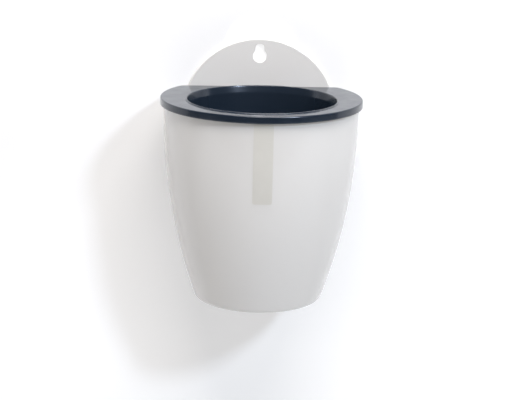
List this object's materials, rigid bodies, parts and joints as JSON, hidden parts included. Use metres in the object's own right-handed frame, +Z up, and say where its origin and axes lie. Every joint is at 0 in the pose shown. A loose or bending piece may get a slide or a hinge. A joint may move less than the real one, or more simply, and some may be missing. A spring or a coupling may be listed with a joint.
{
  "type": "hanging wall vase",
  "caption": "Wall-hung vase: a flat-backed tapered pot with a keyhole hanging plate, and a lift-out basket with a broad collar above a water store.",
  "frame": {"origin": "the screw seat at the top of the keyhole, on the wall plane", "axes": "+Z up, +Y into the wall, -Y out to the front, +X to the right as seen from the front"},
  "size_m": [0.16, 0.1321, 0.2021],
  "materials": {
    "pot_plastic": "moulded gloss",
    "basket_plastic": "moulded gloss",
    "label_film": "satin film"
  },
  "bodies": {
    "outer_pot": {"outer_pot": "pot_plastic", "front_label": "label_film"},
    "inner_basket": {"inner_basket": "basket_plastic"}
  },
  "joints": [
    {"name": "basket_lift", "type": "slide", "parent": "outer_pot", "child": "inner_basket", "axis": [0, 0, 1], "range_m": [0, 0.155]}
  ]
}
